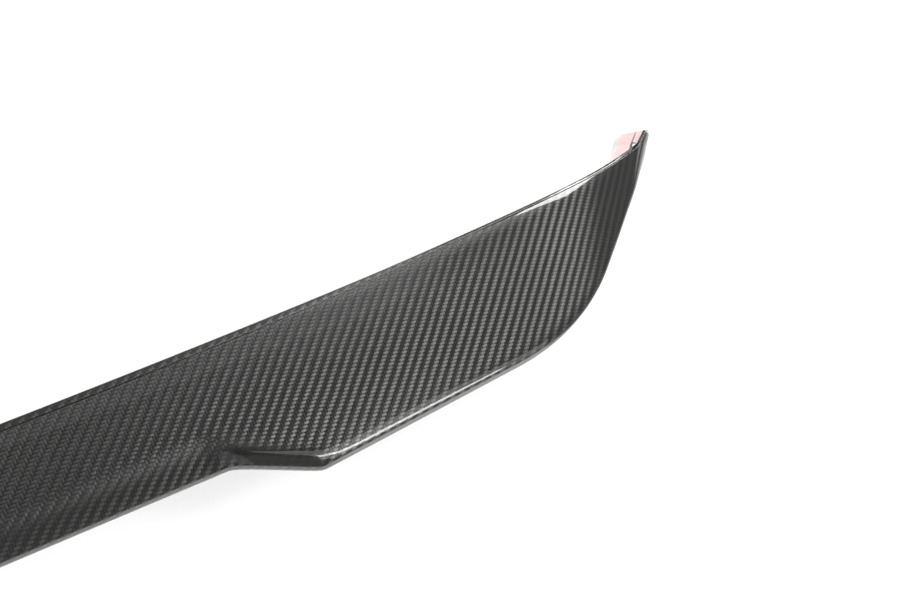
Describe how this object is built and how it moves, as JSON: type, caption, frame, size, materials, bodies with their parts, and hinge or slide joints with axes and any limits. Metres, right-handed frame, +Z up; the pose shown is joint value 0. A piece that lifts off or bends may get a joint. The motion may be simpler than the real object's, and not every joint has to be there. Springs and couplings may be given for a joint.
{
  "type": "car rear spoiler",
  "caption": "Boot lid lip spoiler: one thin moulded carbon shell with a stepped rear lip, drooping pointed ends and taped seats along its front edge and rear wall.",
  "frame": {"origin": "middle of the face where the front tape meets the boot lid, on the centre line", "axes": "X across the car, Y forward in the car, Z up, square to the boot lid under the front tape"},
  "size_m": [1.221, 0.1311, 0.0988],
  "materials": {
    "laminate": "clear-coated twill weave carbon laminate, high gloss",
    "foam": "closed-cell foam tape, matt",
    "patch": "white foam tape, matt",
    "liner": "thin release liner film, satin"
  },
  "bodies": {
    "root": {"spoiler_shell": "laminate", "front_tape_left": "foam", "front_tape_centre": "foam", "front_tape_right": "foam", "rear_tape_left": "foam", "rear_tape_centre": "foam", "rear_tape_right": "foam", "tip_pad_left": "foam", "tip_pad_right": "foam", "tip_patch_left": "patch", "tip_patch_right": "patch", "front_liner_left": "liner", "front_liner_centre": "liner", "front_liner_right": "liner", "rear_liner_left": "liner", "rear_liner_centre": "liner", "rear_liner_right": "liner", "tip_liner_left": "liner", "tip_liner_right": "liner"}
  },
  "joints": []
}
